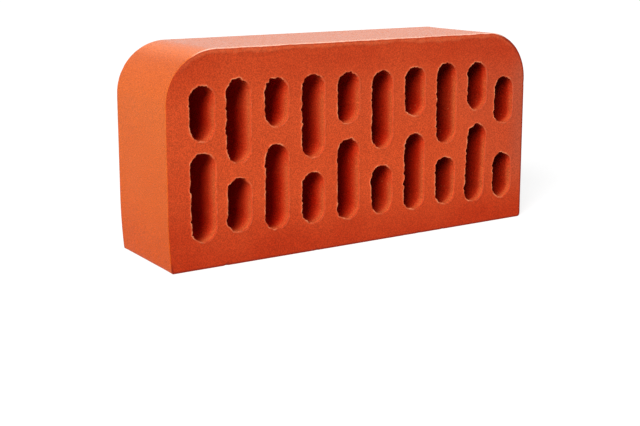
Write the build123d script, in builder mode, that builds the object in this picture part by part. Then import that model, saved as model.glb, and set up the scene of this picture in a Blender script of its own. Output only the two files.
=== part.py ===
from build123d import *
import os

# A single-format facing brick of fired clay, cut from an extruded column and pierced by
# twenty round-ended slots. It stands on its long side face: X runs along its length,
# Y through its thickness, from one wire-cut bed face to the other, and Z up its width.
# Every size is in millimetres.

# Overall format
LENGTH = 250.0
WIDTH = 120.0
THICKNESS = 65.0

# Corners of the extruded section
FACE_CORNER_RADIUS = 30.0  # the two large corners at the top
HEEL_RADIUS = 2.0  # the small corner at the foot of the right end
HEEL_DRAW = 1.5  # how far the foot of the left end is drawn in
HEEL_DRAW_HEIGHT = 32.0  # where that end begins to curve in, above the base

# Slots, all of one width, with half-round ends
SLOT_WIDTH = 14.5
SHORT_SLOT_LENGTH = 29.0
COLUMNS = 10
END_COLUMN_DROP = 10.0  # how much lower the last column stops, to clear the right corner

# Clay left between and around the slots
LEFT_WALL = 14.0
RIGHT_WALL = 9.5
BOTTOM_WALL = 16.0
TOP_WALL = 18.0
CROSS_WEB = 10.0  # between the two slots of a column
OUTER_WEB_CUT = 2.0  # how much thinner the webs beside the outermost columns are

left_end = -LENGTH / 2
right_end = LENGTH / 2
slots_top = WIDTH - TOP_WALL
long_slot_length = slots_top - BOTTOM_WALL - CROSS_WEB - SHORT_SLOT_LENGTH


def column_centres():
    """Return the X of each column of slots, from the left end to the right end."""
    first = left_end + LEFT_WALL + SLOT_WIDTH / 2
    last = right_end - RIGHT_WALL - SLOT_WIDTH / 2
    inner_pitch = (last - first + 2 * OUTER_WEB_CUT) / (COLUMNS - 1)
    inner_columns = [first + index * inner_pitch - OUTER_WEB_CUT for index in range(1, COLUMNS - 1)]
    return [first, *inner_columns, last]


def column_slots(index):
    """Return the centre height and length of a column's lower slot and of its upper slot."""
    is_last = index == COLUMNS - 1
    long_below = index % 2 == 0 and not is_last
    long_above = index % 2 == 1 and not is_last
    lower_length = long_slot_length if long_below else SHORT_SLOT_LENGTH
    upper_length = long_slot_length if long_above else SHORT_SLOT_LENGTH
    upper_end = slots_top - (END_COLUMN_DROP if is_last else 0)
    lower_slot = (BOTTOM_WALL + lower_length / 2, lower_length)
    upper_slot = (upper_end - upper_length / 2, upper_length)
    return [lower_slot, upper_slot]


with BuildPart() as brick:
    # The section of the clay column, seen on a bed face
    with BuildSketch(Plane.XZ) as section:
        with BuildLine():
            drawn_heel = TangentArc(
                (left_end, HEEL_DRAW_HEIGHT),
                (left_end + HEEL_DRAW, 0),
                tangent=(0, -1),
            )
            Polyline(
                drawn_heel @ 1,
                (right_end, 0),
                (right_end, WIDTH),
                (left_end, WIDTH),
                drawn_heel @ 0,
            )
        make_face()
        fillet(section.vertices().group_by(Axis.Y)[-1], radius=FACE_CORNER_RADIUS)
        right_heel = section.vertices().group_by(Axis.Y)[0].sort_by(Axis.X)[-1]
        fillet(right_heel, radius=HEEL_RADIUS)
    extrude(amount=THICKNESS / 2, both=True)

    # Slots right through, in columns that swap their long slot from foot to head
    with BuildSketch(Plane.XZ):
        for index, centre_x in enumerate(column_centres()):
            for centre_z, slot_length in column_slots(index):
                with Locations((centre_x, centre_z)):
                    SlotOverall(slot_length, SLOT_WIDTH, rotation=90)
    extrude(amount=THICKNESS / 2, both=True, mode=Mode.SUBTRACT)

brick.part.label = "brick"

os.makedirs("parts", exist_ok=True)
export_step(brick.part, "parts/brick.step")
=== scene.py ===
import math

import bmesh
import bpy
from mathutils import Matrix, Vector, noise
from mathutils.geometry import delaunay_2d_cdt


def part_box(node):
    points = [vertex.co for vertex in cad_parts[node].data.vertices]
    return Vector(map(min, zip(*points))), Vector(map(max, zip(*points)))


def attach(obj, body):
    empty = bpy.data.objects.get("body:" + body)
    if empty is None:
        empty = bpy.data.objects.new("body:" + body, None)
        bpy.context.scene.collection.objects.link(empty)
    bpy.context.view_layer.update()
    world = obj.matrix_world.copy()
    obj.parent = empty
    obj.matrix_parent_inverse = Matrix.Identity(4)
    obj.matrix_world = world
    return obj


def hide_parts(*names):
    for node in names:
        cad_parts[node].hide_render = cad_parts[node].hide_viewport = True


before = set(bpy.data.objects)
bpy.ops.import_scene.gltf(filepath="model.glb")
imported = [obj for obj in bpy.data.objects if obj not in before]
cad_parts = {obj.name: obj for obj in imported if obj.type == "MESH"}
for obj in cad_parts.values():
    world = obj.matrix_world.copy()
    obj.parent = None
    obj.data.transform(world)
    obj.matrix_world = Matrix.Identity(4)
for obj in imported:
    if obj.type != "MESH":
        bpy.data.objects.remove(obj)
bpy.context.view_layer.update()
brick_low, brick_high = (Vector(corner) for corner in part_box("brick"))

# The frame is in metres. The sizes of the brick below are in millimetres.
MM = 0.001

# Overall format, from the frame
LEFT = brick_low.x / MM
RIGHT = brick_high.x / MM
TOP = brick_high.z / MM
HALF_THICKNESS = brick_high.y / MM

# The extruded section, as in the construction
FACE_CORNER_RADIUS = 30.0
HEEL_RADIUS = 2.0
HEEL_DRAW = 1.5
HEEL_DRAW_HEIGHT = 32.0
SOFT_HEEL_RADIUS = 0.8

# The slots, as in the construction
SLOT_WIDTH = 14.5
SHORT_SLOT_LENGTH = 29.0
COLUMNS = 10
END_COLUMN_DROP = 10.0
LEFT_WALL = 14.0
RIGHT_WALL = 9.5
BOTTOM_WALL = 16.0
TOP_WALL = 18.0
CROSS_WEB = 10.0
OUTER_WEB_CUT = 2.0
SLOTS_TOP = TOP - TOP_WALL
LONG_SLOT_LENGTH = SLOTS_TOP - BOTTOM_WALL - CROSS_WEB - SHORT_SLOT_LENGTH

# Slots whose ends strayed from the die's pattern as the clay left it, by column and row:
# how far the lower end and the upper end moved up
SLOT_STRAY = {
    (0, "lower"): (-0.5, 0.7),
    (0, "upper"): (-2.4, -1.6),
    (1, "lower"): (2.2, 2.4),
    (1, "upper"): (1.8, 0.4),
    (2, "lower"): (0.6, 1.4),
    (2, "upper"): (1.8, -0.3),
    (3, "lower"): (0.6, 1.1),
    (5, "upper"): (0.7, -0.7),
    (6, "lower"): (-0.3, -0.9),
    (7, "upper"): (-0.8, 1.2),
    (8, "lower"): (-0.9, 0.2),
    (9, "lower"): (-0.8, -1.5),
}
LEANING_SLOT = (8, "lower")
LEAN = 0.045  # its sideways run for each millimetre of height

# The wire-cut faces lie a little inside the box, so that their burrs and lip can stand proud.
# Their slow swells and the drag of the wire: how high, and how large the lumps are
FACE_RECESS = 0.5
FACE_LEVEL = HALF_THICKNESS - FACE_RECESS
SWELL_HEIGHT = 0.07
SWELL_SIZE = 38.0
DRAG_HEIGHT = 0.035
DRAG_SIZE = 5.0

# The smeared lip along the top edge: its height, how much paler it is painted (a painted highlight, as it
# faces up into the light), and its width with two waverings
LIP_HEIGHT = 0.2
LIP_HIGHLIGHT = 0.14
LIP_WIDTH = 3.2
LIP_WAVER = 1.3
LIP_WAVER_SIZE = 17.0
LIP_FLUTTER = 0.6
LIP_FLUTTER_SIZE = 5.0

# The wire left each slot's mouth torn on one side and rolled over on the other.
# The spacing of its points, the distance of each ring round it, and the heights at mouth and rings
MOUTH_SPACING = 0.64
MOUTH_RINGS = (0.35, 0.7, 1.1, 2.2)
TORN_PROFILE = (0.10, 0.20, 0.10, 0.02, 0.0)
ROLLED_PROFILE = (-0.14, 0.0, 0.11, 0.01, 0.0)

# How far each of those rings follows the tear, and the farthest that the mouth is torn back
RING_TEAR = (1.0, 0.95, 0.8, 0.45, 0.0)
MOST_TEAR = 1.12

# Sizes of the facets, chips and nibbles of a tear, and of the lumps of its burr
FACET_SIZE = 4.5
CHIP_SIZE = 2.2
NIBBLE_SIZE = 1.05
BURR_SIZE = 3.2

# The tone of the mouth itself, how pale each ring is painted (a painted highlight on the edge and burr
# that catch the light), and how dark where the clay is rolled over (painted shade on the side of the burr
# turned from the light)
MOUTH_TONE = 0.9
TORN_HIGHLIGHT = (0.7, 1.0, 0.3, 0.0, 0.0)
ROLLED_HIGHLIGHT = (0.0, 0.0, 0.3, 0.0, 0.0)
ROLLED_SHADE = (0.25, 0.5, 0.1, 0.0, 0.0)

# Depths of the rings down a slot's wall, and how much of the tear is left at each
WALL_DEPTHS = (0.9, 1.7, 3.0, 5.5, 9.5, 16.0, 24.0)
WALL_TEAR = (0.8, 0.55, 0.3, 0.12, 0.04, 0.0, 0.0)

# Fine and broad ripples of the walls: how high, and how large the lumps are
FINE_RIPPLE = 0.09
FINE_RIPPLE_SIZE = 1.7
BROAD_RIPPLE = 0.12
BROAD_RIPPLE_SIZE = 6.0

# Rings inside the edge of a wire-cut face, and how far apart points are on its sides and within
EDGE_RINGS = (0.12, 0.6, 1.2, 1.9, 2.6, 3.4, 4.3)
OUTLINE_SPACING = 1.6
GRID_STEP = 2.6

# How far the edge between a wire-cut face and the skin is rounded, and how much more along the top
ARRIS = 0.13
TOP_ARRIS = 0.5
ARRIS_STEPS = 3

# How that rounding varies: shares of it with their lump sizes, and nicks on top
FINE_WEAR = 0.35
FINE_WEAR_SIZE = 3.2
BROAD_WEAR = 0.4
BROAD_WEAR_SIZE = 11.0
NICK_DEPTH = 1.2
NICK_SIZE = 4.0

# Chips knocked off the front edge: X, Z, how far each runs along the edge and how deep it is
EDGE_CHIPS = ((-91.0, 0.0, 1.5, 1.1), (-32.0, 0.0, 1.0, 0.5), (61.0, 0.0, 1.3, 0.6))

# Rings of the skin, as shares of the way from the middle to each softened edge
SKIN_RINGS = (-0.97, -0.9, -0.78, -0.6, -0.4, -0.2, 0.0, 0.2, 0.4, 0.6, 0.78, 0.9, 0.97)

# Shallow dents of the skin: how deep, and how large the lumps are
BROAD_DENT = 0.10
BROAD_DENT_SIZE = 26.0
FINE_DENT = 0.03
FINE_DENT_SIZE = 6.0

# Lump sizes of the patterns in the clay's colour and grain
CLOUDS = 42.0
MOTTLES = 6.0
COARSE_SAND = 2.6
FINE_SAND = 0.6
PALE_SPECKS = 1.7
DARK_SPECKS = 2.1
STREAKS = 1.6

# Colours that the three clays share: the specks, and the brown of painted shade
PALE_SPECK = (0.80, 0.22, 0.085, 1)
DARK_SPECK = (0.25, 0.02, 0.006, 1)
PAINTED_SHADE_BROWN = (0.28, 0.02, 0.005, 1)

# Surfaces of the brick, in the order of its materials
CUT, SKIN, WALL = 0, 1, 2

# The triangulation gives back the triangles inside the loops, and joins points nearer than this
INSIDE_LOOPS = 1
NEAREST_POINTS = 1e-6

# Sockets of the mix node: the two values, the two colours and the mixed colour
MIX_VALUES = (2, 3)
MIX_COLOURS = (6, 7)
MIXED_COLOUR = 2


def smooth(start, end, value):
    """Ease from 0 at the start to 1 at the end."""
    t = min(max((value - start) / (end - start), 0.0), 1.0)
    return t * t * (3 - 2 * t)


def wave(x, y, z, size):
    """Smooth noise between about -1 and 1, with lumps of this size. Each y gives another pattern."""
    return noise.noise(Vector((x, y, z)) / size)


def column_centres():
    """The X of each column of slots, from the left end to the right end."""
    first = LEFT + LEFT_WALL + SLOT_WIDTH / 2
    last = RIGHT - RIGHT_WALL - SLOT_WIDTH / 2
    pitch = (last - first + 2 * OUTER_WEB_CUT) / (COLUMNS - 1)
    inner = [first + index * pitch - OUTER_WEB_CUT for index in range(1, COLUMNS - 1)]
    return [first, *inner, last]


def slot_list():
    """Each slot as its column, its row, its centre X and the heights of its two ends."""
    slots = []
    for column, x in enumerate(column_centres()):
        is_last = column == COLUMNS - 1
        long_below = column % 2 == 0 and not is_last
        long_above = column % 2 == 1 and not is_last
        lower_length = LONG_SLOT_LENGTH if long_below else SHORT_SLOT_LENGTH
        upper_length = LONG_SLOT_LENGTH if long_above else SHORT_SLOT_LENGTH
        upper_end = SLOTS_TOP - (END_COLUMN_DROP if is_last else 0)
        for row, low, high in (
            ("lower", BOTTOM_WALL, BOTTOM_WALL + lower_length),
            ("upper", upper_end - upper_length, upper_end),
        ):
            stray_low, stray_high = SLOT_STRAY.get((column, row), (0.0, 0.0))
            slots.append((column, row, x, low + stray_low, high + stray_high))
    return slots


SLOTS = slot_list()


def slot_contour(slot):
    """Points (x, z) and outward normals round a slot, evenly spaced, and a seed for its noise."""
    column, row, centre_x, low, high = slot
    radius = SLOT_WIDTH / 2
    straight = high - low - SLOT_WIDTH
    middle = (low + high) / 2
    half_turn = math.pi * radius
    perimeter = 2 * (straight + half_turn)
    count = round(perimeter / MOUTH_SPACING)
    lean = LEAN if (column, row) == LEANING_SLOT else 0.0
    points = []
    for index in range(count):
        walked = perimeter * index / count
        if walked < straight:
            x, z, nx, nz = radius, walked - straight / 2, 1.0, 0.0
        elif walked < straight + half_turn:
            angle = (walked - straight) / radius
            nx, nz = math.cos(angle), math.sin(angle)
            x, z = radius * nx, straight / 2 + radius * nz
        elif walked < 2 * straight + half_turn:
            x, z, nx, nz = -radius, straight * 1.5 + half_turn - walked, -1.0, 0.0
        else:
            angle = math.pi + (walked - 2 * straight - half_turn) / radius
            nx, nz = math.cos(angle), math.sin(angle)
            x, z = radius * nx, -straight / 2 + radius * nz
        points.append((centre_x + x + lean * z, middle + z, nx, nz))
    return points, 17.0 * column + (5.0 if row == "upper" else 0.0)


def arc(centre_x, centre_z, radius, start, end, count):
    """Points and outward normals along an arc, its angles in degrees."""
    points = []
    for index in range(count):
        angle = math.radians(start + (end - start) * index / count)
        nx, nz = math.cos(angle), math.sin(angle)
        points.append((centre_x + radius * nx, centre_z + radius * nz, nx, nz))
    return points


def line(x0, z0, x1, z1):
    """Points and outward normals along a straight side, walked with the clay on the left."""
    length = math.hypot(x1 - x0, z1 - z0)
    nx, nz = (z1 - z0) / length, -(x1 - x0) / length
    count = max(round(length / OUTLINE_SPACING), 1)
    return [(x0 + (x1 - x0) * i / count, z0 + (z1 - z0) * i / count, nx, nz) for i in range(count)]


def outline():
    """Points and outward normals round the section, anticlockwise from the foot of the left end."""
    corner = FACE_CORNER_RADIUS
    heel_arc = (HEEL_DRAW_HEIGHT ** 2 + HEEL_DRAW ** 2) / (2 * HEEL_DRAW)
    heel_turn = math.degrees(math.asin(HEEL_DRAW_HEIGHT / heel_arc))
    soft = SOFT_HEEL_RADIUS
    foot = LEFT + HEEL_DRAW
    points = line(foot + soft, 0, RIGHT - HEEL_RADIUS, 0)
    points += arc(RIGHT - HEEL_RADIUS, HEEL_RADIUS, HEEL_RADIUS, -90, 0, 4)
    points += line(RIGHT, HEEL_RADIUS, RIGHT, TOP - corner)
    points += arc(RIGHT - corner, TOP - corner, corner, 0, 90, 30)
    points += line(RIGHT - corner, TOP, LEFT + corner, TOP)
    points += arc(LEFT + corner, TOP - corner, corner, 90, 180, 30)
    points += line(LEFT, TOP - corner, LEFT, HEEL_DRAW_HEIGHT)
    points += arc(LEFT + heel_arc, HEEL_DRAW_HEIGHT, heel_arc, 180, 180 + heel_turn * 0.97, 19)
    points += arc(foot + soft, soft, soft, 180 + heel_turn, 270, 3)
    return points


def drawn_in(x, z, distance):
    """A point of the section moved towards its middle, by about a distance from the nearest side."""
    return x * (1 - distance / RIGHT), TOP / 2 + (z - TOP / 2) * (1 - 2 * distance / TOP)


def inside_corners(x, z, border):
    """True well inside the two large corners."""
    corner = FACE_CORNER_RADIUS
    centre_x = RIGHT - corner
    if z < TOP - corner or abs(x) < centre_x:
        return True
    return math.hypot(abs(x) - centre_x, z - (TOP - corner)) < corner - 1.3 * border


def near_slot(x, z, distance):
    """True within a distance of the centre line of a slot."""
    for _, _, centre_x, low, high in SLOTS:
        nearest = min(max(z, low + SLOT_WIDTH / 2), high - SLOT_WIDTH / 2)
        if math.hypot(x - centre_x, z - nearest) < distance:
            return True
    return False


def face_height(x, z, side):
    """How far a wire-cut face stands above its plain level, where the wire left swells and drags."""
    swell = SWELL_HEIGHT * wave(x, side * 40, z, SWELL_SIZE)
    drag = DRAG_HEIGHT * wave(x * 0.25, side * 90, z, DRAG_SIZE)
    return swell + drag


def lip_share(x, z, from_edge, side):
    """How much of the smeared lip there is, where the wire left the clay along the top edge."""
    waver = LIP_WAVER * wave(x, side * 7, 0, LIP_WAVER_SIZE)
    flutter = LIP_FLUTTER * wave(x, side * 11, 3, LIP_FLUTTER_SIZE)
    width = LIP_WIDTH + waver + flutter
    return smooth(TOP - 16, TOP - 4, z) * (1 - smooth(width - 1.4, width + 0.3, from_edge))


def rolled_share(nx, nz):
    """From 0 on the torn side of a mouth to 1 on the side where the wire rolled the clay over."""
    return smooth(-0.15, 0.75, 0.9 * nx - 0.35 * nz)


def tear(x, z, nx, nz, seed, side):
    """How far the mouth of a slot is torn back at a point of its contour."""
    ragged = smooth(0.2, 0.9, -nx)
    facets = (0.55 + 0.35 * nz * nz) * wave(x, seed + side, z, FACET_SIZE)
    chips = 1.9 * max(wave(x, seed + 40 + side, z, CHIP_SIZE) - 0.1, 0.0)
    nibbles = (0.34 + 0.2 * ragged) * wave(x, seed + 80 + side, z, NIBBLE_SIZE)
    torn = (0.25 * ragged + facets + chips) * (1 - 0.75 * rolled_share(nx, nz)) + nibbles
    return min(torn, MOST_TEAR)


def cut_tone_with_painted_shade(x, z):
    """Painted shade on the wire-cut faces: palest at mid height, darker near the top and both ends,
    darkest below, standing in for the light falling off towards their edges and foot.
    """
    foot = 0.9 * (1 - smooth(0, TOP / 3, z))
    head = 0.38 * smooth(TOP - 40, TOP - 8, z) + 0.12 * smooth(TOP - 22, TOP - 10, z)
    left = 0.35 * smooth(LEFT + 27, LEFT + 11, x) * smooth(8, 24, z) * (1 - smooth(50, 66, z))
    right = 0.2 * smooth(30, RIGHT - 20, x)
    return 1 - foot - head - left - right


def cut_haze(x, z):
    """A paler, greyer colour along the right edge of the wire-cut faces, and a little over their upper
    part.
    """
    edge = 0.22 * smooth(RIGHT - 65, RIGHT - 37, x) + 0.66 * smooth(RIGHT - 15, RIGHT - 3, x)
    veil = 0.12 * smooth(TOP - 60, TOP - 35, z) * smooth(-90, 0, x)
    return (edge * smooth(8, 45, z) + veil) * (1 - 0.7 * smooth(TOP - 28, TOP - 12, z))


def towards_right(x):
    """Ease from 0 over the left columns of slots to 1 at the last one."""
    return smooth(LEFT + 55, RIGHT - 15, x)


def wall_tone_with_painted_shade(x, depth):
    """The walls of the slots darken away from their mouths, sooner towards the right end: partly the
    clay's redder heart, partly painted shade where less light reaches into the slots, and less still
    towards the right end.
    """
    reach = 1 - 0.35 * towards_right(x)
    return 1 - 0.68 * smooth(1, 8 * reach, depth) - 0.32 * smooth(6 * reach, 15 * reach, depth)


def deep_painted_shade(x, depth):
    """Painted shade deep in the slots, more of it towards the right end, where less light reaches in, and
    a darker band from a few millimetres to about 15 mm in, strongest at the left.
    """
    far_in = 0.66 * towards_right(x) * smooth(1.5, 6, depth)
    band = (0.3 - 0.2 * smooth(-90, -10, x)) * smooth(2.5, 7, depth) * (1 - smooth(9, 16, depth))
    return far_in + band


def skin_tone_with_painted_shade(z):
    """The extruded skin is paler the higher it is: painted shade, darker low down where less light
    reaches.
    """
    return 0.55 * smooth(0, 45, z) + 0.45 * smooth(35, 100, z)


def top_painted_light(z):
    """How far the skin is painted paler towards the top: painted light standing in for the sheen and light
    the top catches.
    """
    return 0.2 * smooth(TOP - 32, TOP - 16, z) + 0.8 * smooth(TOP - 9, TOP - 1, z)


def corner_painted_shade(z):
    """How much painted shade browns the skin over its large corners, to damp the stronger light they
    catch.
    """
    return 0.2 * smooth(TOP - 32, TOP - 16, z) * (1 - smooth(TOP - 7, TOP - 1, z))


def edge_painted_shade(x, z, from_edge):
    """Painted shade: the thin dark line of a wire-cut face along its foot, its right edge and the corner
    above, where the rounded edge turns from the light.
    """
    low = 1 - smooth(2, 8, z)
    right = smooth(RIGHT - 24, RIGHT - 14, x)
    return 0.9 * max(low, right) * (1 - smooth(0.4, 1.3, from_edge))


class Shell:
    """Vertices and faces of one mesh, with the tone (which carries painted shade), painted highlight, haze
    and painted light, and brown painted shade of each vertex.
    """

    def __init__(self):
        self.points = []
        self.tones = []
        self.painted_highlights = []
        self.hazes_and_painted_lights = []
        self.painted_shades = []
        self.faces = []
        self.surfaces = []

    def add(self, x, y, z, tone, painted_highlight=0.0, haze_and_painted_light=0.0, painted_shade=0.0):
        """A vertex, placed in millimetres. Returns its number."""
        self.points.append((x * MM, y * MM, z * MM))
        self.tones.append(tone)
        self.painted_highlights.append(painted_highlight)
        self.hazes_and_painted_lights.append(haze_and_painted_light)
        self.painted_shades.append(painted_shade)
        return len(self.points) - 1

    def face(self, corners, surface):
        """A face between vertices, by their numbers."""
        self.faces.append(corners)
        self.surfaces.append(surface)

    def band(self, first, second, surface):
        """Quads between two closed rings of the same count."""
        for i in range(len(first)):
            j = (i + 1) % len(first)
            self.face((first[i], first[j], second[j], second[i]), surface)


class BedFace:
    """One wire-cut face in the making: rings round its slots and along its edge, and what lies between."""

    def __init__(self, shell, side):
        self.shell = shell
        self.side = side
        self.places = []
        self.owners = []
        self.fences = []
        self.mouth_of = {}

    def put(self, x, z, proud, tone, painted_highlight=0.0, painted_shade=0.0):
        """A vertex that stands this proud of the face, but not out of the brick's box."""
        height = min(FACE_LEVEL + proud + face_height(x, z, self.side), HALF_THICKNESS)
        return self.shell.add(x, self.side * height, z, tone, painted_highlight, cut_haze(x, z), painted_shade)

    def fence(self, ring, places):
        """Give a ring's points and its closed line to the triangulation."""
        start = len(self.places)
        self.places.extend(places)
        self.owners.extend(ring)
        self.fences.extend((start + i, start + (i + 1) % len(ring)) for i in range(len(ring)))

    def add_mouth(self, contour, seed):
        """The rings round a slot's torn mouth. Returns the innermost and how far its points are torn."""
        torn = [tear(*point, seed, self.side) for point in contour]
        rings = []
        for index, distance in enumerate((0.0, *MOUTH_RINGS)):
            ring = []
            for (x, z, nx, nz), away in zip(contour, torn):
                offset = away * RING_TEAR[index] + distance
                px, pz = x + nx * offset, z + nz * offset
                rolled = rolled_share(nx, nz)
                burr = TORN_PROFILE[index] * (1 - rolled) + ROLLED_PROFILE[index] * rolled
                # Painted highlight on the mouth's rims and burr, and painted shade on the rolled side of
                # the burr, turned from the light
                painted_highlight = TORN_HIGHLIGHT[index] * (1 - rolled) + ROLLED_HIGHLIGHT[index] * rolled
                strength = max(0.75 + 1.1 * wave(px, seed + 9, pz, BURR_SIZE), 0.0)
                proud = burr * (strength if burr > 0 else 1.0)
                tone = MOUTH_TONE if index == 0 else cut_tone_with_painted_shade(px, pz)
                tone -= ROLLED_SHADE[index] * rolled
                ring.append(self.put(px, pz, proud, tone, painted_highlight * min(strength, 1.0)))
            rings.append(ring)
        for inner, outer in zip(rings, rings[1:]):
            self.shell.band(inner, outer, CUT)
        self.mouth_of.update((corner, seed) for corner in rings[-1])
        reach = MOUTH_RINGS[-1]
        self.fence(rings[-1], [(x + nx * reach, z + nz * reach) for x, z, nx, nz in contour])
        return rings[0], torn

    def add_edge(self, edge):
        """The rings inside the softened edge, with the smeared lip. Returns the outermost."""
        rings = []
        for distance in (0.0, *EDGE_RINGS):
            ring = []
            for (x, z, _, _), softness in edge:
                px, pz = drawn_in(x, z, softness + distance)
                lip = lip_share(px, pz, distance, self.side)
                # Painted shade: a dark line just under the top edge and a painted shadow at the foot of
                # the lip; the lip itself is painted paler, a painted highlight where it faces up into the
                # light.
                shade_under_edge = 1.2 * smooth(TOP - 12, TOP - 2, z) * (1 - smooth(0.2, 0.8, distance))
                shadow_below_lip = 1.4 * lip * (1 - lip)
                tone = cut_tone_with_painted_shade(px, pz) - (shade_under_edge + shadow_below_lip - 0.6 * lip)
                painted_shade = edge_painted_shade(x, z, distance)
                ring.append(self.put(px, pz, LIP_HEIGHT * lip, tone, LIP_HIGHLIGHT * lip, painted_shade))
            rings.append(ring)
        for outer, inner in zip(rings, rings[1:]):
            self.shell.band(outer, inner, CUT)
        reach = EDGE_RINGS[-1]
        self.fence(rings[-1], [drawn_in(x, z, softness + reach) for (x, z, _, _), softness in edge])
        return rings[0]

    def add_grid(self):
        """Points in staggered rows between the slots."""
        border = ARRIS + EDGE_RINGS[-1] + GRID_STEP * 0.6
        keep_off = SLOT_WIDTH / 2 + MOUTH_RINGS[-1] + GRID_STEP * 0.55
        rows = int((TOP - 2 * border) / GRID_STEP) + 1
        columns = int((RIGHT - LEFT - 2 * border) / GRID_STEP) + 1
        for row in range(rows):
            z = border + row * GRID_STEP
            for column in range(columns):
                x = LEFT + border + column * GRID_STEP + (GRID_STEP / 2 if row % 2 else 0)
                in_face = LEFT + border + HEEL_DRAW < x < RIGHT - border - HEEL_DRAW
                if in_face and inside_corners(x, z, border) and not near_slot(x, z, keep_off):
                    self.places.append((x, z))
                    self.owners.append(self.put(x, z, 0.0, cut_tone_with_painted_shade(x, z)))

    def fill(self):
        """Triangles between all the points, but none across a slot's mouth."""
        _, _, triangles, origins, _, _ = delaunay_2d_cdt(
            [Vector(place) for place in self.places], self.fences, [], INSIDE_LOOPS, NEAREST_POINTS)
        for triangle in triangles:
            corners = tuple(self.owners[origins[i][0]] for i in triangle)
            mouths = {self.mouth_of.get(corner) for corner in corners}
            if None in mouths or len(mouths) > 1:
                self.shell.face(corners, CUT)


def bed_face(shell, side, contours, edge):
    """One wire-cut face. Returns each slot's mouth with its tears, and the ring along the edge."""
    face = BedFace(shell, side)
    mouths = [face.add_mouth(contour, seed) for contour, seed in contours]
    edge_ring = face.add_edge(edge)
    face.add_grid()
    face.fill()
    return mouths, edge_ring


def slot_wall(shell, contours, front, back):
    """The walls of each slot, from its torn front mouth to its back one."""
    for (contour, seed), (front_ring, front_torn), (back_ring, back_torn) in zip(contours, front, back):
        head = max(point[1] for point in contour)
        levels = [(0.0, 0.0)]
        for depth, share in zip(WALL_DEPTHS, WALL_TEAR):
            levels += [(depth - FACE_LEVEL, share), (FACE_LEVEL - depth, share)]
        previous = front_ring
        for y, share in sorted(levels):
            torn = front_torn if y < 0 else back_torn
            depth = FACE_LEVEL - abs(y)
            ring = []
            for (x, z, nx, nz), away in zip(contour, torn):
                fine = FINE_RIPPLE * wave(x, seed, z, FINE_RIPPLE_SIZE)
                broad = BROAD_RIPPLE * wave(x, seed + y * 0.02, z, BROAD_RIPPLE_SIZE)
                offset = away * share + (fine + broad)
                px, pz = x + nx * offset, z + nz * offset
                # Painted shade under the head of each slot, where the wall faces down from the light,
                # browner towards the right end
                head_shade_share = smooth(head - 15, head - 3, z)
                tone = wall_tone_with_painted_shade(px, depth) * (1 - 0.55 * head_shade_share)
                shade_deep_in = deep_painted_shade(px, depth) + (0.06 + 0.08 * smooth(20, 100, x)) * head_shade_share
                ring.append(shell.add(px, y, pz, tone, 0.0, shade_deep_in))
            shell.band(previous, ring, WALL)
            previous = ring
        shell.band(previous, back_ring, WALL)


def arris(shell, edge, side):
    """Rings round a softened edge, from the wire-cut face out to the skin."""
    rings = []
    for step in range(1, ARRIS_STEPS + 1):
        turn = math.pi / 2 * step / ARRIS_STEPS
        ring = []
        for (x, z, _, _), softness in edge:
            px, pz = drawn_in(x, z, softness * (1 - math.sin(turn)))
            y = side * (FACE_LEVEL - softness * (1 - math.cos(turn)))
            # Painted highlight: the rounded edge is painted pale along the top and where it is rounded
            # more.
            highlight_share = max(smooth(TOP - 5, TOP - 0.3, z), smooth(0.8, 1.3, softness))
            painted_highlight = highlight_share if step < ARRIS_STEPS else 0.3 * highlight_share
            painted_shade = max(corner_painted_shade(z), edge_painted_shade(x, z, 0))
            ring.append(shell.add(px, y, pz, skin_tone_with_painted_shade(z), painted_highlight, top_painted_light(z), painted_shade))
        rings.append(ring)
    return rings


def skin(shell, front_edge, back_edge, front_ring, back_ring):
    """The extruded skin round the section, between its softened edges."""
    rings = [front_ring, *arris(shell, front_edge, -1)]
    span = FACE_LEVEL - ARRIS
    for share in SKIN_RINGS:
        y = span * share
        ring = []
        for (x, z, nx, nz), _ in front_edge:
            broad = BROAD_DENT * (1 + wave(x, y, z, BROAD_DENT_SIZE))
            fine = FINE_DENT * (1 + wave(x, y * 0.3, z, FINE_DENT_SIZE))
            dent = (broad + fine) * (1 - abs(share) ** 6)
            px, pz = x - nx * dent, z - nz * dent
            ring.append(shell.add(px, y, pz, skin_tone_with_painted_shade(z), 0.0, top_painted_light(z), corner_painted_shade(z)))
        rings.append(ring)
    rings += [*reversed(arris(shell, back_edge, 1)), back_ring]
    for first, second in zip(rings, rings[1:]):
        shell.band(second, first, SKIN)


def softened(section, side):
    """The section's points with how far its edge is rounded at each."""
    chips = EDGE_CHIPS if side < 0 else ()
    edge = []
    for point in section:
        x, z = point[0], point[1]
        softness = ARRIS + TOP_ARRIS * smooth(TOP - 12, TOP - 0.5, z)
        fine = FINE_WEAR * wave(x, side * 30, z, FINE_WEAR_SIZE)
        broad = BROAD_WEAR * wave(x, side * 60, z, BROAD_WEAR_SIZE)
        softness *= 1 + fine + broad
        softness += NICK_DEPTH * max(wave(x, side * 90, z, NICK_SIZE) - 0.45, 0.0)
        for chip_x, chip_z, run, depth in chips:
            softness += depth * (1 - smooth(0, run, math.hypot(x - chip_x, z - chip_z)))
        edge.append((point, softness))
    return edge


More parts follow.
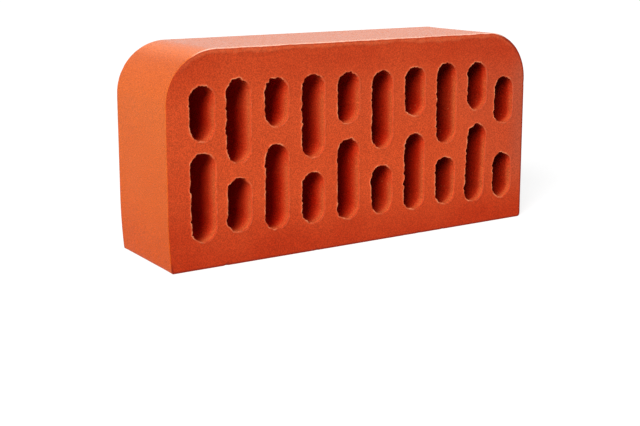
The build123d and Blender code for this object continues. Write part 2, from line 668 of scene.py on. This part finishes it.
def make_mesh(shell):
    """The shell's mesh, in triangles that all face outwards, with its marks as attributes."""
    mesh = bpy.data.meshes.new("fired_brick")
    mesh.from_pydata(shell.points, [], shell.faces)
    mesh.polygons.foreach_set("material_index", shell.surfaces)
    marks = {"tone": shell.tones, "painted_highlight": shell.painted_highlights, "haze_and_painted_light": shell.hazes_and_painted_lights, "painted_shade": shell.painted_shades}
    for name, values in marks.items():
        mesh.attributes.new(name, "FLOAT", "POINT").data.foreach_set("value", values)
    work = bmesh.new()
    work.from_mesh(mesh)
    bmesh.ops.recalc_face_normals(work, faces=work.faces)
    bmesh.ops.triangulate(work, faces=work.faces)
    work.to_mesh(mesh)
    open_edges = sum(not edge.is_manifold for edge in work.edges)
    print("brick:", len(work.faces), "triangles,", open_edges, "open edges")
    work.free()
    mesh.shade_smooth()
    return mesh


def make_brick(materials):
    """The whole brick as one closed mesh, in place of the plain solid."""
    shell = Shell()
    contours = [slot_contour(slot) for slot in SLOTS]
    section = outline()
    front_edge = softened(section, -1)
    back_edge = softened(section, 1)
    front_mouths, front_ring = bed_face(shell, -1, contours, front_edge)
    back_mouths, back_ring = bed_face(shell, 1, contours, back_edge)
    slot_wall(shell, contours, front_mouths, back_mouths)
    skin(shell, front_edge, back_edge, front_ring, back_ring)

    mesh = make_mesh(shell)
    for material in materials:
        mesh.materials.append(material)
    piece = bpy.data.objects.new("fired_brick", mesh)
    bpy.context.scene.collection.objects.link(piece)
    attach(piece, "root")
    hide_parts("brick")


class Recipe:
    """A material in the making, whose noise sizes are in millimetres of the brick."""

    def __init__(self, name):
        self.material = bpy.data.materials.new(name)
        self.material.use_nodes = True
        self.tree = self.material.node_tree
        self.shader = self.tree.nodes["Principled BSDF"]
        self.place = self.add("ShaderNodeTexCoord").outputs["Object"]

    def add(self, kind, inputs=None, **settings):
        """A node with its settings, and with its inputs set or wired."""
        node = self.tree.nodes.new(kind)
        for name, value in settings.items():
            setattr(node, name, value)
        for name, value in (inputs or {}).items():
            self.feed(node.inputs[name], value)
        return node

    def feed(self, socket, value):
        """Wire a socket to another node's output, or set it."""
        if isinstance(value, bpy.types.NodeSocket):
            self.tree.links.new(value, socket)
        else:
            socket.default_value = value

    def noise(self, size, detail=2.0, stretch=(1.0, 1.0, 1.0)):
        """Noise between 0 and 1, whose lumps are this size, times the stretch along each axis."""
        scale = [1 / (size * MM * along) for along in stretch]
        mapping = self.add("ShaderNodeMapping", {"Vector": self.place, "Scale": scale})
        texture = self.add("ShaderNodeTexNoise", {
            "Vector": mapping.outputs["Vector"], "Scale": 1.0, "Detail": detail, "Roughness": 0.6,
        })
        return texture.outputs["Fac"]

    def spread(self, value, low, high, out_low, out_high):
        """The value's range from low to high stretched to another range."""
        node = self.add("ShaderNodeMapRange", {
            "Value": value, "From Min": low, "From Max": high, "To Min": out_low, "To Max": out_high,
        })
        return node.outputs["Result"]

    def maths(self, operation, first, second, clamp=False):
        """Two values added, multiplied or combined in another way."""
        node = self.add("ShaderNodeMath", operation=operation, use_clamp=clamp)
        self.feed(node.inputs[0], first)
        self.feed(node.inputs[1], second)
        return node.outputs["Value"]

    def blend(self, share, first, second, kind="MIX"):
        """Two colours mixed, or combined in another way."""
        node = self.add("ShaderNodeMix", data_type="RGBA", blend_type=kind)
        self.feed(node.inputs["Factor"], share)
        for socket, colour in zip(MIX_COLOURS, (first, second)):
            self.feed(node.inputs[socket], colour)
        return node.outputs[MIXED_COLOUR]

    def attribute(self, name):
        """What the mesh holds under this name at each vertex."""
        return self.add("ShaderNodeAttribute", attribute_name=name).outputs["Fac"]


def clay(name, dark, light, haze_and_painted_light_colour, highlight_colour, even, drift, grain, specks, roughness, specular, relief, run):
    """Fired clay: tone with its drift, where the tone carries painted shade, sandy grain, pale and dark
    specks, a haze and painted light, brown painted shade, painted highlights and bump.

    Its painted highlights along rims are pale all along to the share `even`, and patchy for the rest. Its
    streaks and mottles are stretched along each axis by `run`.
    """
    recipe = Recipe(name)
    clouds = recipe.spread(recipe.noise(CLOUDS, 3.0), 0.3, 0.7, -drift, drift)
    mottles = recipe.spread(recipe.noise(MOTTLES, 2.0, run), 0.3, 0.7, -drift / 4, drift / 4)
    drifted = recipe.maths("ADD", clouds, mottles)
    tone = recipe.maths("ADD", recipe.attribute("tone"), drifted, clamp=True)
    colour = recipe.blend(tone, (*dark, 1), (*light, 1))

    fine = recipe.noise(FINE_SAND, 1.5)
    coarse = recipe.noise(COARSE_SAND, 2.0)
    patchy = recipe.spread(coarse, 0.3, 0.7, 0.85, 1.0)
    # Mixes in the haze of the wire-cut faces, the painted light at the skin's top and the painted shade
    # deep in the slots
    haze_and_painted_light = recipe.maths("MULTIPLY", recipe.attribute("haze_and_painted_light"), patchy)
    colour = recipe.blend(haze_and_painted_light, colour, (*haze_and_painted_light_colour, 1))
    sand = recipe.spread(fine, 0.32, 0.68, 1 - grain, 1 + grain)
    colour = recipe.blend(1.0, colour, sand, "MULTIPLY")
    pale_specks = recipe.spread(recipe.noise(PALE_SPECKS, 1.0), 0.70, 0.78, 0.0, 0.7 * specks)
    colour = recipe.blend(pale_specks, colour, PALE_SPECK)
    dark_specks = recipe.spread(recipe.noise(DARK_SPECKS, 1.0), 0.29, 0.23, 0.0, specks)
    colour = recipe.blend(dark_specks, colour, DARK_SPECK)
    # Painted highlights along rims, patchy by the coarse sand
    highlight_share = recipe.spread(coarse, 0.36, 0.58, even, 0.95)
    painted_highlight = recipe.maths("MULTIPLY", recipe.attribute("painted_highlight"), highlight_share)
    colour = recipe.blend(painted_highlight, colour, (*highlight_colour, 1))
    # Painted shade in brown along edges and over the skin's corners
    colour = recipe.blend(recipe.attribute("painted_shade"), colour, PAINTED_SHADE_BROWN)
    recipe.feed(recipe.shader.inputs["Base Color"], colour)

    height = fine
    for pattern in (coarse, recipe.noise(STREAKS, 2.0, run)):
        height = recipe.maths("ADD", height, recipe.maths("MULTIPLY", pattern, 0.45))
    bump = recipe.add("ShaderNodeBump", {"Strength": 1.0, "Distance": relief * MM, "Height": height})
    recipe.feed(recipe.shader.inputs["Normal"], bump.outputs["Normal"])
    gloss = recipe.spread(coarse, 0.3, 0.7, roughness - 0.06, roughness + 0.06)
    recipe.feed(recipe.shader.inputs["Roughness"], gloss)
    recipe.shader.inputs["Specular IOR Level"].default_value = specular
    return recipe.material


cut_clay = clay(
    "wire_cut_clay",
    dark=(0.49, 0.033, 0.005),
    light=(0.65, 0.076, 0.017),
    haze_and_painted_light_colour=(0.49, 0.082, 0.035),
    highlight_colour=(0.95, 0.31, 0.14),
    even=0.2,
    drift=0.2,
    grain=0.27,
    specks=0.08,
    roughness=0.85,
    specular=0.15,
    relief=0.06,
    run=(1.6, 1.0, 1.0),
)
skin_clay = clay(
    "extruded_skin_clay",
    dark=(0.57, 0.073, 0.001),
    light=(0.64, 0.120, 0.0165),
    haze_and_painted_light_colour=(0.84, 0.190, 0.045),
    highlight_colour=(0.95, 0.60, 0.48),
    even=0.65,
    drift=0.1,
    grain=0.34,
    specks=0.03,
    roughness=0.235,
    specular=0.03,
    relief=0.003,
    run=(1.0, 6.0, 1.0),
)
wall_clay = clay(
    "slot_wall_clay",
    dark=(0.62, 0.015, 0.003),
    light=(0.54, 0.085, 0.024),
    haze_and_painted_light_colour=(0.16, 0.006, 0.001),
    highlight_colour=(0.95, 0.31, 0.14),
    even=0.2,
    drift=0.2,
    grain=0.38,
    specks=0.4,
    roughness=0.9,
    specular=0.0,
    relief=0.24,
    run=(1.0, 3.0, 1.0),
)
make_brick([cut_clay, skin_clay, wall_clay])

# The camera, at the photograph's viewing angle, with angles in degrees and image sizes in pixels
CAMERA_PLACE = (-0.378, -0.573, 0.175)
CAMERA_YAW = -32.8
CAMERA_PITCH = 10.4
FOCAL_PIXELS = 1148.0
IMAGE_WIDTH = 640.0
AXIS_ABOVE_CENTRE = 60.0
camera_data = bpy.data.cameras.new("camera")
camera = bpy.data.objects.new("camera", camera_data)
bpy.context.scene.collection.objects.link(camera)
camera_data.sensor_width = 36.0
camera_data.lens = FOCAL_PIXELS * camera_data.sensor_width / IMAGE_WIDTH
camera_data.shift_y = -AXIS_ABOVE_CENTRE / IMAGE_WIDTH
yaw = math.radians(CAMERA_YAW)
pitch = math.radians(CAMERA_PITCH)
forward = Vector((-math.sin(yaw) * math.cos(pitch), math.cos(yaw) * math.cos(pitch), -math.sin(pitch)))
camera.location = CAMERA_PLACE
camera.rotation_mode = "QUATERNION"
camera.rotation_quaternion = forward.to_track_quat("-Z", "Y")
bpy.context.scene.camera = camera
bpy.context.scene.view_settings.view_transform = "Standard"


def seen_directly(tree):
    """1 for what the camera sees, also in a reflection or through glass, and 0 for light on surfaces."""
    path = tree.nodes.new("ShaderNodeLightPath")
    total = path.outputs["Is Camera Ray"]
    for name in ("Is Glossy Ray", "Is Transmission Ray"):
        adder = tree.nodes.new("ShaderNodeMath")
        adder.operation = "MAXIMUM"
        tree.links.new(total, adder.inputs[0])
        tree.links.new(path.outputs[name], adder.inputs[1])
        total = adder.outputs["Value"]
    return total


def make_floor(reach, colour, glow):
    """A white studio floor that keeps a faint shadow: pale paint, topped up to white where it is seen."""
    mesh = bpy.data.meshes.new("floor")
    corners = [(-reach, -reach, 0), (reach, -reach, 0), (reach, reach, 0), (-reach, reach, 0)]
    mesh.from_pydata(corners, [], [(0, 1, 2, 3)])
    floor = bpy.data.objects.new("floor", mesh)
    bpy.context.scene.collection.objects.link(floor)
    material = bpy.data.materials.new("floor_white")
    material.use_nodes = True
    tree = material.node_tree
    shader = tree.nodes["Principled BSDF"]
    shader.inputs["Base Color"].default_value = (colour, colour, colour, 1)
    shader.inputs["Roughness"].default_value = 0.9
    shader.inputs["Specular IOR Level"].default_value = 0.0
    shader.inputs["Emission Color"].default_value = (1, 1, 1, 1)
    scale = tree.nodes.new("ShaderNodeMath")
    scale.operation = "MULTIPLY"
    scale.inputs[1].default_value = glow
    tree.links.new(seen_directly(tree), scale.inputs[0])
    tree.links.new(scale.outputs["Value"], shader.inputs["Emission Strength"])
    mesh.materials.append(material)


def make_world(light):
    """A white backdrop that lights the brick more softly than it looks."""
    world = bpy.data.worlds.new("studio")
    bpy.context.scene.world = world
    world.use_nodes = True
    tree = world.node_tree
    background = tree.nodes["Background"]
    background.inputs["Color"].default_value = (1, 1, 1, 1)
    choose = tree.nodes.new("ShaderNodeMix")
    for socket, strength in zip(MIX_VALUES, (light, 1.0)):
        choose.inputs[socket].default_value = strength
    tree.links.new(seen_directly(tree), choose.inputs[0])
    tree.links.new(choose.outputs[0], background.inputs["Strength"])


def make_lamp(name, azimuth, elevation, spread, strength):
    """A broad even light, from degrees left of the front and above the floor, as wide as its spread."""
    data = bpy.data.lights.new(name, "SUN")
    data.angle = math.radians(spread)
    data.energy = strength
    lamp = bpy.data.objects.new(name, data)
    turn = math.radians(azimuth)
    rise = math.radians(elevation)
    away = Vector((-math.sin(turn) * math.cos(rise), -math.cos(turn) * math.cos(rise), math.sin(rise)))
    lamp.location = away
    lamp.rotation_mode = "QUATERNION"
    lamp.rotation_quaternion = (-away).to_track_quat("-Z", "Y")
    bpy.context.scene.collection.objects.link(lamp)


make_floor(reach=6.0, colour=0.3, glow=0.8)
make_world(light=0.3)
make_lamp("key", azimuth=54, elevation=29, spread=30, strength=4.0)
